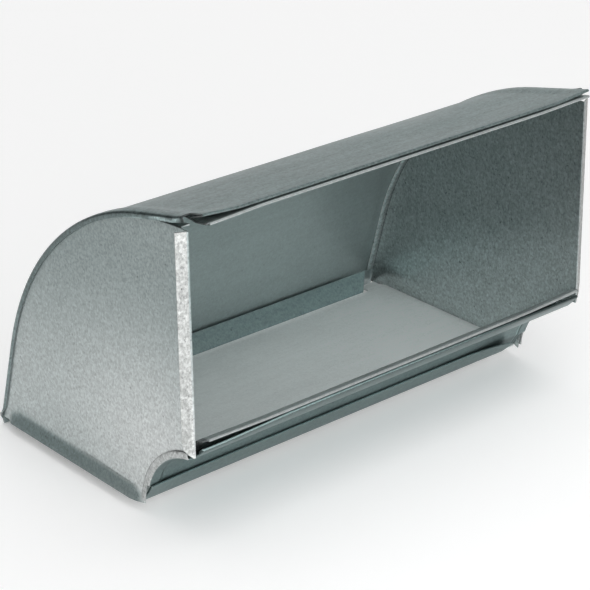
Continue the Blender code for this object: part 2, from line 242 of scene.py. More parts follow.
def used_only(points, faces, crease_shade):
    """Drop the points that no face uses."""
    used = sorted({i for face in faces for i in face})
    where = {old: new for new, old in enumerate(used)}
    faces = [tuple(where[i] for i in face) for face in faces]
    return [points[i] for i in used], faces, [crease_shade[i] for i in used]


def sheet_piece(name, node, points, faces, materials, crease_shade, shade=None, pick=None, far_slot=0):
    """Thicken a middle surface into a closed sheet, give it its finish and hang it on the frame.

    shade(x, y, z) is the painted light or shade of a point, crease_shade the painted shade in its folds,
    and pick(centre) the material slot of a face; without pick the sheared edges take slot 1. far_slot is the
    step in slots to the far side of the sheet.
    """
    points, faces, crease_shade = used_only(points, faces, crease_shade)
    mesh = bpy.data.meshes.new(name + "_middle")
    mesh.from_pydata([place(*p) for p in points], [], faces)
    # painted shade in folds, bends, seams and crumpled ends, stored per point
    layer = mesh.attributes.new("crease_shade", "FLOAT", "POINT")
    layer.data.foreach_set("value", crease_shade)
    # painted light and shade, stored per point
    layer = mesh.attributes.new("shade", "FLOAT", "POINT")
    layer.data.foreach_set("value", [shade(*p) if shade else 1.0 for p in points])
    for material in materials:
        mesh.materials.append(material)
    if pick is not None:
        for poly in mesh.polygons:
            poly.material_index = pick(poly.center)
    raw = bpy.data.objects.new(name + "_middle", mesh)
    bpy.context.scene.collection.objects.link(raw)
    thick = raw.modifiers.new("thickness", "SOLIDIFY")
    thick.thickness = SHEET * 0.001
    thick.offset = 0.0
    thick.use_even_offset = False
    thick.use_quality_normals = True
    thick.material_offset_rim = 1 if pick is None else 0
    thick.material_offset = far_slot
    bpy.context.view_layer.update()
    solid = bpy.data.meshes.new_from_object(raw.evaluated_get(bpy.context.evaluated_depsgraph_get()))
    bpy.data.objects.remove(raw, do_unlink=True)
    solid.name = name
    for poly in solid.polygons:
        poly.use_smooth = True
    solid.set_sharp_from_angle(angle=math.radians(SHARP_ANGLE))
    piece = bpy.data.objects.new(name, solid)
    bpy.context.scene.collection.objects.link(piece)
    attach(piece, "root")
    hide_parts(node)
    return piece


# ---- materials ----
def node_of(tree, kind, **values):
    """Add a node and set its plain properties."""
    made = tree.nodes.new(kind)
    for key, value in values.items():
        setattr(made, key, value)
    return made


def new_material(name):
    """A node material with its tree and its shader."""
    mat = bpy.data.materials.new(name)
    mat.use_nodes = True
    return mat, mat.node_tree, mat.node_tree.nodes["Principled BSDF"]


def stored(tree, name):
    """A value stored on the mesh's points."""
    return node_of(tree, "ShaderNodeAttribute", attribute_name=name).outputs["Fac"]


def noise_at(tree, coords, scale, detail, rough, stretch):
    """A noise texture on object coordinates, stretched along the axes."""
    mapping = node_of(tree, "ShaderNodeMapping")
    mapping.inputs["Scale"].default_value = stretch
    tree.links.new(coords, mapping.inputs["Vector"])
    texture = node_of(tree, "ShaderNodeTexNoise")
    texture.inputs["Scale"].default_value = scale
    texture.inputs["Detail"].default_value = detail
    texture.inputs["Roughness"].default_value = rough
    tree.links.new(mapping.outputs["Vector"], texture.inputs["Vector"])
    return texture.outputs["Fac"]


def scaled(tree, value, low, high, out_low, out_high):
    """Map a value from one range to another."""
    made = node_of(tree, "ShaderNodeMapRange")
    made.inputs["From Min"].default_value = low
    made.inputs["From Max"].default_value = high
    made.inputs["To Min"].default_value = out_low
    made.inputs["To Max"].default_value = out_high
    tree.links.new(value, made.inputs["Value"])
    return made.outputs["Result"]


def combined(tree, first, second, operation):
    """A two-input maths node; second may be a number."""
    made = node_of(tree, "ShaderNodeMath", operation=operation)
    tree.links.new(first, made.inputs[0])
    if isinstance(second, float):
        made.inputs[1].default_value = second
    else:
        tree.links.new(second, made.inputs[1])
    return made.outputs[0]


def tinted(tree, colour, factor):
    """Multiply a plain colour by a factor, which may have three channels."""
    if factor.type == "VECTOR":
        made = node_of(tree, "ShaderNodeVectorMath", operation="MULTIPLY")
        made.inputs[0].default_value = colour
        tree.links.new(factor, made.inputs[1])
        return made.outputs["Vector"]
    made = node_of(tree, "ShaderNodeVectorMath", operation="SCALE")
    made.inputs[0].default_value = colour
    tree.links.new(factor, made.inputs["Scale"])
    return made.outputs["Vector"]


def zinc(name, colour, roughness, spangle, streak, metallic, warmth=0.0):
    """Galvanised sheet: rolled streaks, cloudy patches and fine spangle, darkened by painted shade in the
    folds and scaled by painted light and shade.

    warmth is the power of the stored shade by which the red channel follows it further.
    """
    mat, tree, shader = new_material(name)
    coords = node_of(tree, "ShaderNodeTexCoord").outputs["Object"]
    fine = noise_at(tree, coords, 900.0, 3.0, 0.65, (1.0, 1.0, 0.62))
    cell = node_of(tree, "ShaderNodeTexVoronoi")
    cell.inputs["Scale"].default_value = 620.0
    tree.links.new(coords, cell.inputs["Vector"])
    tone = node_of(tree, "ShaderNodeSeparateColor")
    tree.links.new(cell.outputs["Color"], tone.inputs["Color"])
    cloud = noise_at(tree, coords, 26.0, 4.0, 0.6, (0.7, 1.0, 1.0))
    rolled = noise_at(tree, coords, 240.0, 4.0, 0.6, (0.06, 1.0, 1.0))
    speck = noise_at(tree, coords, 420.0, 2.0, 0.5, (1.0, 1.0, 1.0))

    fine_part = scaled(tree, fine, 0.25, 0.75, -spangle, spangle)
    cell_part = scaled(tree, tone.outputs["Red"], 0.0, 1.0, -0.45 * spangle, 0.45 * spangle)
    cloud_part = scaled(tree, cloud, 0.3, 0.7, -0.045, 0.045)
    rolled_part = scaled(tree, rolled, 0.3, 0.7, -streak, streak)
    dark_part = scaled(tree, speck, 0.66, 0.76, 0.0, -1.4 * spangle)
    total = fine_part
    for part in (cell_part, cloud_part, rolled_part, dark_part, 1.0):
        total = combined(tree, total, part, "ADD")
    # painted shade in the folds, from the stored crease shade
    fold_shade = stored(tree, "crease_shade")
    crease_darkening = scaled(tree, fold_shade, 0.0, 1.0, 1.0, CREASE_SHADE_TONE)
    total = combined(tree, total, crease_darkening, "MULTIPLY")
    # painted light and shade stored per point
    shade = stored(tree, "shade")
    total = combined(tree, total, shade, "MULTIPLY")
    warm = node_of(tree, "ShaderNodeCombineXYZ")
    red = combined(tree, total, combined(tree, shade, warmth, "POWER"), "MULTIPLY")
    tree.links.new(red, warm.inputs["X"])
    tree.links.new(total, warm.inputs["Y"])
    tree.links.new(total, warm.inputs["Z"])
    tree.links.new(tinted(tree, colour, warm.outputs["Vector"]), shader.inputs["Base Color"])

    gloss = combined(tree, scaled(tree, cloud, 0.3, 0.7, roughness - 0.05, roughness + 0.05),
                     scaled(tree, fine, 0.25, 0.75, -0.06, 0.06), "ADD")
    # the painted crease shade also roughens the folds
    gloss = combined(tree, gloss, scaled(tree, fold_shade, 0.0, 1.0, 0.0, 0.3), "ADD")
    tree.links.new(gloss, shader.inputs["Roughness"])
    shader.inputs["Metallic"].default_value = metallic

    bump = node_of(tree, "ShaderNodeBump")
    bump.inputs["Strength"].default_value = 0.25
    bump.inputs["Distance"].default_value = 0.00006
    relief = combined(tree, fine, rolled, "ADD")
    tree.links.new(relief, bump.inputs["Height"])
    tree.links.new(bump.outputs["Normal"], shader.inputs["Normal"])
    return mat


def cut_edge(name):
    """Bare sheared edge of the sheet: brighter, with fine shear lines."""
    mat, tree, shader = new_material(name)
    coords = node_of(tree, "ShaderNodeTexCoord").outputs["Object"]
    lines = noise_at(tree, coords, 700.0, 3.0, 0.6, (1.0, 1.0, 1.0))
    # painted shade in the folds darkens the cut edges too
    crease_darkening = scaled(tree, stored(tree, "crease_shade"), 0.0, 1.0, 1.0, CREASE_SHADE_TONE)
    tone = combined(tree, scaled(tree, lines, 0.3, 0.7, 0.8, 1.1), crease_darkening, "MULTIPLY")
    tree.links.new(tinted(tree, (0.40, 0.44, 0.44), tone), shader.inputs["Base Color"])
    tree.links.new(scaled(tree, lines, 0.3, 0.7, 0.34, 0.5), shader.inputs["Roughness"])
    shader.inputs["Metallic"].default_value = 0.8
    return mat


# ---- hood ----
def hood_directions(degrees):
    """Outward normal and upward travel on the hood at an angle of the round."""
    turn = math.radians(degrees)
    return (math.cos(turn), math.sin(turn)), (-math.sin(turn), math.cos(turn))


def wall_point(z):
    """Point of the raked rear wall at a height."""
    travel = hood_directions(WALL_ANGLE)[1]
    base = polar(HOOD_CENTRE, HOOD_RADIUS, WALL_ANGLE)
    return shifted(base, travel, (z - base[1]) / travel[1])


def top_point(y):
    """Point of the straight rising top at a depth."""
    travel = hood_directions(TOP_ANGLE)[1]
    base = polar(HOOD_CENTRE, HOOD_RADIUS, TOP_ANGLE)
    return shifted(base, travel, (y - base[0]) / travel[0])


def hood_section():
    """Middle line of the hood from the foot hem to the nose hem: point, normal, weight, kind."""
    section = []
    normal, travel = hood_directions(WALL_ANGLE)
    foot = fold_back(wall_point(FOOT_Z + LAP / 2), (-travel[0], -travel[1]), normal, HEM_WIDTH)
    for point in reversed(foot):
        section.append((point, normal, 0.0, "foot"))
    for z in (FOOT_Z + LAP / 2, -2.5, 0.0, 2.0, 3.5, 5.0, 6.5, 8.0, 14.0, 22.0, 30.0, 38.0, 46.0):
        section.append((wall_point(z), normal, smooth((z - 2.0) / 6.0), "wall"))
    for i in range(ROUND_STEPS + 1):
        angle = WALL_ANGLE + (TOP_ANGLE - WALL_ANGLE) * i / ROUND_STEPS
        normal = hood_directions(angle)[0]
        section.append((polar(HOOD_CENTRE, HOOD_RADIUS, angle), normal, 1.0, "round"))
    normal, travel = hood_directions(TOP_ANGLE)
    for y in (38.0, 30.0, 24.0, 18.0, 14.5, 11.0, NOTCH_Y, 5.0, 2.5, NOSE_Y):
        section.append((top_point(y), normal, smooth((y - 1.0) / 7.0), "top"))
    under = (-normal[0], -normal[1])
    for point in fold_back(top_point(NOSE_Y), travel, under, HEM_WIDTH):
        section.append((point, normal, 0.0, "nose"))
    return section


def rim_trim(x, y, z):
    """How far the ends of the hood are cut back at the left of the nose and at the foot."""
    nose = 2.6 * smooth((5.0 - y) / 7.0) if x < 0 else 0.0
    return nose + 3.4 * smooth((1.5 - z) / 7.0)


def nose_lift(x, y):
    """Upward opening of the nose toward its ends."""
    along = smooth((abs(x) - LIFT_START) / (LIFT_END - LIFT_START))
    return NOSE_LIFT * along * smooth((16.0 - y) / 18.0)


def pinch(y, z):
    """Small crimp marks along the turned rim near the front."""
    back = y - HOOD_CENTRE[0]
    high = z - HOOD_CENTRE[1]
    reach = math.hypot(back, high) * math.atan2(high, back)
    wave = 0.5 + 0.5 * math.cos(2.0 * math.pi * reach / CRIMP_PITCH)
    return wave ** 4 * smooth((y - 8.0) / 6.0) * smooth((78.0 - y) / 20.0)


def hood_shade(x, y, z):
    """Painted light and shade: the rear wall darker toward the lower right, a painted highlight on the rim's
    rounding, darker rim faces that pale toward the rear hem, and painted glints at the crimp marks near the
    front.
    """
    if abs(x) < 149.0:
        return 1.0 - 0.16 * smooth((x - 60.0) / 90.0) * smooth((150.0 - z) / 60.0) * smooth((y - 60.0) / 40.0)
    rim = smooth((abs(x) - 149.7) / 0.8)
    turned = 0.5 * smooth(1.0 - abs(abs(x) - 149.6) / 0.9)
    hem = 0.3 * smooth((y - 150.0) / 20.0) * smooth((z - 2.0) / 10.0)
    return 1.0 + turned + rim * (-0.42 + hem + 1.3 * pinch(y, z) * smooth((abs(x) - 150.2) / 0.3))


def build_hood(materials):
    """Round back, raked rear wall and top, with joggled and turned ends.

    A column is its place, the share of the joggle and how far the rim is turned down there.
    """
    half = [(0.0, 0.0, 0.0)] + [(x, 0.0, 0.0) for x in spaced(12.0, 132.0, 11)]
    half += [(JOGGLE_START, 0.0, 0.0), (JOGGLE_START + JOGGLE_EASE, 0.14, 0.0)]
    half += [(JOGGLE_END - JOGGLE_EASE, 0.86, 0.0)]
    half += [(JOGGLE_END, 1.0, 0.0), (NOTCH_X, 1.0, 0.0), (147.6, 1.0, 0.0), (149.2, 1.0, 0.12)]
    half += [(150.1, 1.0, 0.45), (150.5, 1.0, 0.95), (150.62, 1.0, 1.6), (150.52, 1.0, 2.4)]
    half += [(150.42, 1.0, RIM_DEPTH)]
    columns = mirrored(half)
    points = []
    crease_shade = []
    section = hood_section()
    for point, normal, weight, kind in section:
        for x, joggle, down in columns:
            bow = 0.22 * ripple(x, point[0], point[1], 70.0, 3.1) if kind in ("round", "wall") else 0.0
            bow *= smooth((136.0 - abs(x)) / 20.0) * smooth((point[1] - 10.0) / 20.0)
            offset = JOGGLE_HEIGHT * joggle * weight - down * weight + bow
            y, z = shifted(point, normal, offset)
            flat_x = x
            if abs(x) > JOGGLE_END:
                span = (abs(x) - JOGGLE_END) / (RIM_X - JOGGLE_END)
                spread = (1.0 - weight) * down * 0.35
                inward = 0.12 * pinch(*point) * smooth((down - 1.0) / 1.5) * weight
                flat_x = abs(x) + spread - rim_trim(x, *point) * span * (1.0 - weight) - inward
                flat_x = math.copysign(flat_x, x)
            points.append((flat_x, y, z + nose_lift(x, y)))
            # painted shade in the crumpled notch at the left front corner and inside the nose hem
            fold_shade = 0.8 * smooth((NOTCH_Y + 2.5 - point[0]) / 2.5) * smooth((-x - NOTCH_X + 1.2) / 1.5)
            if kind == "nose":
                fold_shade = max(fold_shade, 0.25)
            crease_shade.append(fold_shade)
    count = len(columns)

    def keep(r, c):
        """Leave out the front corners and the end of the nose hem."""
        middle = 0.5 * (columns[c][0] + columns[c + 1][0])
        if section[r + 1][3] == "nose":
            return -NOSE_HEM_X < middle < NOTCH_X
        return abs(middle) < NOTCH_X or section[r][3] != "top" or section[r][0][0] > NOTCH_Y

    faces = grid_faces(len(section), count, keep)
    sheet_piece(
        "hood_skin", "hood_shell", points, faces, materials, crease_shade, hood_shade, far_slot=2
    )


# ---- end panels ----
def front_edge(z):
    """Depth of the raked front edge at a height."""
    return FRONT_RAKE * (z - PANEL_LOW) / (PANEL_TOP - PANEL_LOW)


def edge_bottom(y):
    """Height of the flared lower edge."""
    return FLARE_RISE * max(0.0, y - FLARE_START) / FLARE_RUN


def flare(y, z):
    """Outward kick of the lower edge between the flat corner tongues."""
    along = smooth((y - 51.0) / 2.5) * smooth((179.0 - y - 0.6 * z) / 6.0)
    fade = 1.0 - 0.3 * (y - FLARE_START) / FLARE_RUN
    rise = max(0.0, 1.0 - (z - edge_bottom(y)) / FLARE_HEIGHT)
    return FLARE_OUT * along * fade * rise ** 1.3


def hood_edge(share):
    """Panel corner curve under the hood, from the rear foot (0) to the front top (1)."""
    if share < WALL_SHARE:
        return wall_point(WALL_HIGH * share / WALL_SHARE)
    last = WALL_ANGLE + (ROUND_HIGH - WALL_ANGLE) * ROUND_USED
    if share < TURN_SHARE:
        part = (share - WALL_SHARE) / (TURN_SHARE - WALL_SHARE)
        return polar(HOOD_CENTRE, HOOD_RADIUS, WALL_ANGLE + (last - WALL_ANGLE) * part)
    start = polar(HOOD_CENTRE, HOOD_RADIUS, last)
    end = (FRONT_RAKE, PANEL_TOP)
    part = (share - TURN_SHARE) / (1.0 - TURN_SHARE)
    bow = 1.2 * math.sin(math.pi * part)
    return (start[0] + (end[0] - start[0]) * part, start[1] + (end[1] - start[1]) * part + bow)


def arch_edge(share):
    """Panel corner curve over the cove, from the floor (0) to the lower front corner (1)."""
    return polar((0.0, 0.0), ARCH_RADIUS, 1.0 + 86.0 * share)


def panel_shares():
    """Shares of the fan of rows, closer together at the floor and at the front edge."""
    low = [0.0, 0.006, 0.012, 0.019, 0.026, 0.034, 0.042, 0.051, LOW_SHARE]
    middle = [LOW_SHARE + 0.90 * i / 40 for i in range(1, 41)]
    return low + middle + [0.972, 0.985, 0.993, 1.0]


def panel_ends(share):
    """Where a row of the fan starts on the arch and ends under the hood."""
    if share > LOW_SHARE:
        return arch_edge(share), hood_edge(share)
    height = LOW_HEIGHT * share / LOW_SHARE
    low = (math.sqrt(ARCH_RADIUS ** 2 - height ** 2), height)
    return low, wall_point(height)


def flange_light_zone(x, y, z):
    """Whether a point takes the front flange's painted light."""
    return abs(x) > FLANGE_LIGHT_X and y < FLANGE_Y and z > PANEL_LOW - 2.0


def left_shade(x, y, z):
    """Painted light on the left end: paler low at the front, a brighter front flange and seam flange, and
    painted shade on the kicked lower edge.
    """
    low = smooth((150.0 - z) / 120.0)
    if flange_light_zone(x, y, z):
        return 1.02 + 0.22 * smooth((160.0 - z) / 110.0)
    if abs(x) < 148.3:
        return 1.5
    ahead = smooth((150.0 - y) / 130.0)
    kick = flare(y, z)
    tone = 0.81 + 0.09 * ahead + (0.50 + 0.36 * ahead) * low
    return tone * (1.0 - 0.58 * smooth(1.1 * kick) + 0.10 * smooth(kick - 1.9))


def right_shade(x, y, z):
    """Painted light on the right end: paler toward the floor below a slanting border, with a painted
    highlight on the seam flange.
    """
    if abs(x) < 148.6:
        return 2.1
    if flange_light_zone(x, y, z):
        return 1.0
    border = 100.0 - 0.30 * y
    return 0.90 + 0.23 * smooth((border + 12.0 - z) / 40.0)


def corner_cut(share):
    """Rounding of the front top corner."""
    return CORNER_CUT * smooth((share - 0.965) / 0.035) ** 2


def on_front_flange(x, y, z):
    """Whether the centre of a face lies on the folded-back front flange."""
    return abs(x) > 150.15 and y < FLANGE_Y and z > PANEL_LOW - 1.5


def build_panel(name, node, side, materials):
    """Quarter-round plate with two seam flanges and a folded-back front flange."""
    turns = (0.0, 30.0, 60.0)
    shares = panel_shares()
    span_steps = 26
    points = []
    crease_shade = []
    for share in shares:
        low, high = panel_ends(share)
        span = math.dist(low, high) - corner_cut(share)
        ray = ((high[0] - low[0]) / span, (high[1] - low[1]) / span)
        # crease_shade: painted shade at the seam flanges' edges and in their bends, darkest in the bend under
        # the hood
        points.append((side * ARCH_FLANGE_X, low[0], low[1]))
        crease_shade.append(0.2)
        for turn in turns:
            lean = math.radians(turn)
            y, z = shifted(low, ray, PANEL_BEND * (1.0 - math.cos(lean)))
            points.append((side * (PANEL_X - PANEL_BEND + PANEL_BEND * math.sin(lean)), y, z))
            crease_shade.append(0.75)
        for i in range(span_steps + 1):
            reach = PANEL_BEND + (span - PANEL_BEND * 2.0) * i / span_steps
            y, z = shifted(low, ray, reach)
            near = min(reach, span - reach)
            bow = 0.18 * ripple(side * 40.0, y, z, 60.0, 5.0 + side) * smooth(near / 25.0)
            bow *= smooth(z / 20.0) * smooth((y - front_edge(z)) / 20.0)
            points.append((side * (PANEL_X + flare(y, z) + bow), y, z))
            crease_shade.append(0.0)
        high = shifted(low, ray, span)
        for turn in reversed(turns):
            lean = math.radians(turn)
            y, z = shifted(high, ray, -PANEL_BEND * (1.0 - math.cos(lean)))
            points.append((side * (PANEL_X - PANEL_BEND + PANEL_BEND * math.sin(lean)), y, z))
            crease_shade.append(0.9 if turn > 45.0 else 0.3)
        points.append((side * SEAM_FLANGE_X, high[0], high[1]))
        crease_shade.append(0.0)
    count = len(points) // len(shares)

    plate = len(turns) + 1  # columns of a seam flange and its bend, before the flat plate

    def keep(r, c):
        """Leave out the ends of the two seam flanges."""
        low_free = c >= plate or (shares[r] >= 0.19 and shares[r + 1] <= 0.86)
        high_free = c < count - plate - 1 or (shares[r] >= LOW_SHARE and shares[r + 1] <= 0.99)
        return low_free and high_free

    faces = grid_faces(len(shares), count, keep)
    first = (len(shares) - 1) * count
    previous = [first + c for c in range(plate, count - plate)]
    for reach in (0.12, 0.35, 0.7, 1.0):
        fold = math.radians(FLANGE_FOLD * smooth(reach / 0.3))
        current = []
        for start in range(plate, count - plate):
            x, y, z = points[first + start]
            low_cut = smooth((z - PANEL_LOW + 1.0) / 7.0)
            width = max(FLANGE_WIDTH * low_cut, FLANGE_LEAST) * reach
            current.append(len(points))
            points.append((x + side * width * math.cos(fold), y + width * math.sin(fold), z))
            crease_shade.append(0.0)
        for i in range(len(current) - 1):
            faces.append((previous[i], previous[i + 1], current[i + 1], current[i]))
        previous = current

    def pick(centre):
        """The front flange has its own finish."""
        x, y, z = (1000.0 * value for value in centre)
        return 1 if on_front_flange(x, y - SHIFT_Y, z - SHIFT_Z) else 0

    shade = left_shade if side < 0 else right_shade
    sheet_piece(name, node, points, faces, materials, crease_shade, shade, pick)


# ---- floor pan ----
def strip_lean(x):
    """Lean of the front strip, opening outward toward its ends."""
    if x > 0:
        return math.radians(STRIP_LEAN + STRIP_RIGHT_LEAN * (x / STRIP_RIGHT_X) ** 8)
    return math.radians(STRIP_LEAN + STRIP_LEFT_LEAN * (x / FLOOR_X) ** 8)


def add_strip(points, faces, crease_shade, previous, columns, chosen, rows):
    """Add rows of points from a function of column and share, joined to the row before."""
    for share, spot in rows:
        current = []
        for c in chosen:
            current.append(len(points))
            points.append(spot(columns[c], share))
            crease_shade.append(0.0)
        for i in range(len(current) - 1):
            faces.append((previous[i], previous[i + 1], current[i + 1], current[i]))
        previous = current


def build_floor(materials):
    """Floor with a leaning front strip, a rear upstand and two flat corner tongues."""
    half = [FLOOR_X, 147.0, 144.6, 142.5, 140.0, 138.0, TONGUE_X, 133.5, UPSTAND_LOW_X, 126.0]
    half += spaced(120.0, 10.0, 12)
    columns = [-x for x in half] + [0.0] + list(reversed(half))
    count = len(columns)
    depths = [STRIP_Y + 0.7, 53.0, 60.0] + spaced(70.0, 160.0, 10) + [167.0, BEND_Y - 0.6]
    points = []
    crease_shade = []
    for y in depths:
        for x in columns:
            sag = 0.12 * ripple(x, y, 0.0, 55.0, 8.0) * smooth((y - 52.0) / 20.0) * smooth((165.0 - y) / 20.0)
            sag *= smooth((135.0 - abs(x)) / 20.0)
            reach_x = math.copysign(EDGE_FOLLOW * flare(y, FLOOR_Z), x) if abs(x) >= FLOOR_X else 0.0
            points.append((x + reach_x, y, FLOOR_Z + sag))
            # painted shade along the floor's junction with the end panels
            crease_shade.append(0.15 * smooth((abs(x) - 147.0) / 2.0))
    faces = grid_faces(len(depths), count)

    def strip_spot(x, reach):
        """Point of the front strip at a distance up from its bend."""
        lean = strip_lean(x)
        turn = smooth(0.35 + 0.65 * reach / STRIP_BEND)
        dent = 0.15 * ripple(x, reach, 0.0, 45.0, 2.0) * smooth(reach / 15.0)
        y = STRIP_Y + 0.7 * (1.0 - turn) - reach * math.sin(lean) * turn + dent
        z = FLOOR_Z + reach * math.cos(lean) * turn + 0.2 * (1.0 - turn)
        return (x, y, z)

    strip = [c for c in range(count - 1, -1, -1) if columns[c] <= STRIP_RIGHT_X]
    rows = [(reach, strip_spot) for reach in (0.5, 1.0, STRIP_BEND, 4.0, 8.0, 12.0, 14.3, STRIP_WIDTH)]
    add_strip(points, faces, crease_shade, strip, columns, strip, rows)

    back = (len(depths) - 1) * count
    flap = [c for c in range(count) if abs(columns[c]) <= UPSTAND_LOW_X]
    run = UPSTAND_TOP[0] - BEND_Y
    rise = UPSTAND_TOP[1] - FLOOR_Z

    def flap_spot(x, share):
        """Point of the rear upstand at a share of its rise."""
        if abs(x) >= UPSTAND_LOW_X:
            x = math.copysign(UPSTAND_LOW_X + (UPSTAND_TOP_X - UPSTAND_LOW_X) * share, x)
        dent = 0.2 * ripple(x, 0.0, share * 10.0, 40.0, 6.0) * share
        y = BEND_Y + run * share + dent - 0.25 * (1.0 - share)
        return (x, y, FLOOR_Z + rise * share + 0.12 * (1.0 - share))

    rows = [(share, flap_spot) for share in (0.03, 0.1, 0.35, 0.7, 1.0)]
    add_strip(points, faces, crease_shade, [back + c for c in flap], columns, flap, rows)

    for sign in (-1, 1):
        tongue = [c for c in range(count) if sign * columns[c] >= TONGUE_X]
        rows = [(y, lambda x, y: (x, y, FLOOR_Z)) for y in (175.0, TONGUE_Y)]
        add_strip(points, faces, crease_shade, [back + c for c in tongue], columns, tongue, rows)

    def pick(centre):
        """The front strip and the upstand take the darker cove zinc as painted shade."""
        y = centre[1] * 1000.0 - SHIFT_Y
        z = centre[2] * 1000.0 - SHIFT_Z
        return 1 if y < STRIP_Y + 0.3 or (y > BEND_Y - 0.5 and z > 1.0) else 0

    def shade(x, y, z):
        """Painted light: a brighter upstand, a painted highlight on the strip's top edge, and the floor paler
        toward the right and darker toward the rear.
        """
        if y > BEND_Y + 0.5 and z > 0.8:
            return 1.22
        if y < STRIP_Y - 0.2:
            return 1.06 + 0.8 * smooth((z - 12.4) / 0.6)
        return 0.98 + 0.10 * smooth((x + 20.0) / 150.0) - 0.04 * smooth((y - 120.0) / 50.0)

    sheet_piece("floor_sheet", "floor_pan", points, faces, materials, crease_shade, shade, pick)


# ---- cove and lip channels ----
def lap_point(reach):
    """Point behind the front strip of the floor, one layer back from it."""
    lean = math.radians(STRIP_LEAN)
    along = shifted((STRIP_Y, FLOOR_Z), (-math.sin(lean), math.cos(lean)), reach)
    return shifted(along, (math.cos(lean), math.sin(lean)), LAP + 0.1)


def cove_section():
    """Middle line of the cove: point, lapped point, normal and kind of row."""
    section = []
    for angle, reach in ((3.0, 2.5), (6.0, 5.5), (9.5, 8.8), (13.0, 12.2)):
        turn = math.radians(angle)
        normal = (math.cos(turn), math.sin(turn))
        section.append((polar((0.0, 0.0), COVE_RADIUS, angle), lap_point(reach), normal, "lap"))
    for i in range(COVE_STEPS + 1):
        angle = COVE_LAP + (COVE_HIGH - COVE_LAP) * i / COVE_STEPS
        turn = math.radians(angle)
        normal = (math.cos(turn), math.sin(turn))
        point = polar((0.0, 0.0), COVE_RADIUS, angle)
        section.append((point, point, normal, "arc"))
    length = math.dist(LIP_ROOT, LIP_NOSE)
    travel = ((LIP_NOSE[0] - LIP_ROOT[0]) / length, (LIP_NOSE[1] - LIP_ROOT[1]) / length)
    up = (travel[1], -travel[0])
    middle = ((LIP_ROOT[0] + LIP_NOSE[0]) / 2, (LIP_ROOT[1] + LIP_NOSE[1]) / 2)
    for point in [LIP_ROOT, middle, LIP_NOSE] + fold_back(LIP_NOSE, travel, up, LIP_HEM):
        section.append((point, point, up, "lip"))
    return section


def nose_rise(x, y):
    """The nose of the cove rises away from the left end."""
    return LIP_RISE * smooth((x + 138.0) / 60.0) * smooth((3.0 - y) / 5.0)


def build_cove(materials):
    """Cove sheet with collars turned over the end panels and a hemmed nose.

    A column is its place and how far the sheet stands off the round there.
    """
    half = [(0.0, 0.0)] + [(x, 0.0) for x in spaced(12.0, 132.0, 11)] + [(137.0, 0.0)]
    half += [(140.4, 0.0), (142.0, 0.0), (CREASE_X, -0.1), (142.9, -0.4), (CREASE_FOOT_X, -0.6)]
    half += [(x, -COVE_END_STEP) for x in (JOGGLE_END, 145.6, LIP_X, 149.3)]
    half += [(150.0, -0.5), (150.45, -0.05)]
    half += [(COLLAR_X, n) for n in (0.6, 1.6, 2.6, 3.5)]
    columns = mirrored(half)
    section = cove_section()
    count = len(columns)
    points = []
    crease_shade = []
    for point, lapped, normal, kind in section:
        for x, n in columns:
            behind = kind == "lap" and abs(x) < LAP_X
            base = lapped if behind else point
            y, z = shifted(base, normal, 0.0 if kind == "lip" or behind else n)
            points.append((x, y, z + (nose_rise(x, y) if kind == "lip" else 0.0)))
            # painted shade next to the collars and behind the lapped rows
            fold_shade = 0.45 * smooth((n - 2.8) / 0.7)
            if behind:
                fold_shade = 0.35
            crease_shade.append(fold_shade)

    def keep(r, c):
        """The nose ends before the rim, and the lapped rows stop between it and the collar."""
        middle = abs(0.5 * (columns[c][0] + columns[c + 1][0]))
        if section[r + 1][3] == "lip":
            return middle < (LIP_X if columns[c][0] < 0 else LIP_RIGHT_X)
        if section[r][3] == "lap":
            return middle < LIP_X or middle > COLLAR_X - 0.1
        return True

    def pick(centre):
        """The collars have their own speckled zinc, made brighter than the cove's as painted light."""
        return 1 if abs(centre[0]) > 0.1502 else 0

    def shade(x, y, z):
        """Painted highlights on the nose edge and the crease, painted shade at the crease foot and over the
        front of the nose.
        """
        height = z - nose_rise(x, y)
        nose = smooth((height - 52.75) / 0.3) * smooth((0.2 - y) / 1.2)
        crease = smooth(1.0 - abs(abs(x) - CREASE_X) / 0.5)
        crease -= 0.6 * smooth(1.0 - abs(abs(x) - CREASE_FOOT_X) / 0.6)
        front = 0.42 + 0.2 * smooth((x - 60.0) / 60.0)
        front *= smooth((height - 50.0) / 1.5) * smooth((2.0 - y) / 3.0)
        edge = 1.9 * nose * smooth((120.0 - x) / 160.0)
        return 1.0 - front + edge + 0.9 * crease * smooth((46.0 - z) / 4.0)

    faces = grid_faces(len(section), count, keep)
    sheet_piece("cove_sheet", "cove_front", points, faces, materials, crease_shade, shade, pick)


def crumple(x, y, z, limit, amount):
    """Crumpled free end of a lip channel: up-and-down and in-and-out shifts."""
    near = smooth((abs(x) - limit) / 3.0)
    return (amount * near * ripple(x, y, z, 2.6, 1.5), amount * near * ripple(x, z, y, 3.1, 7.5))


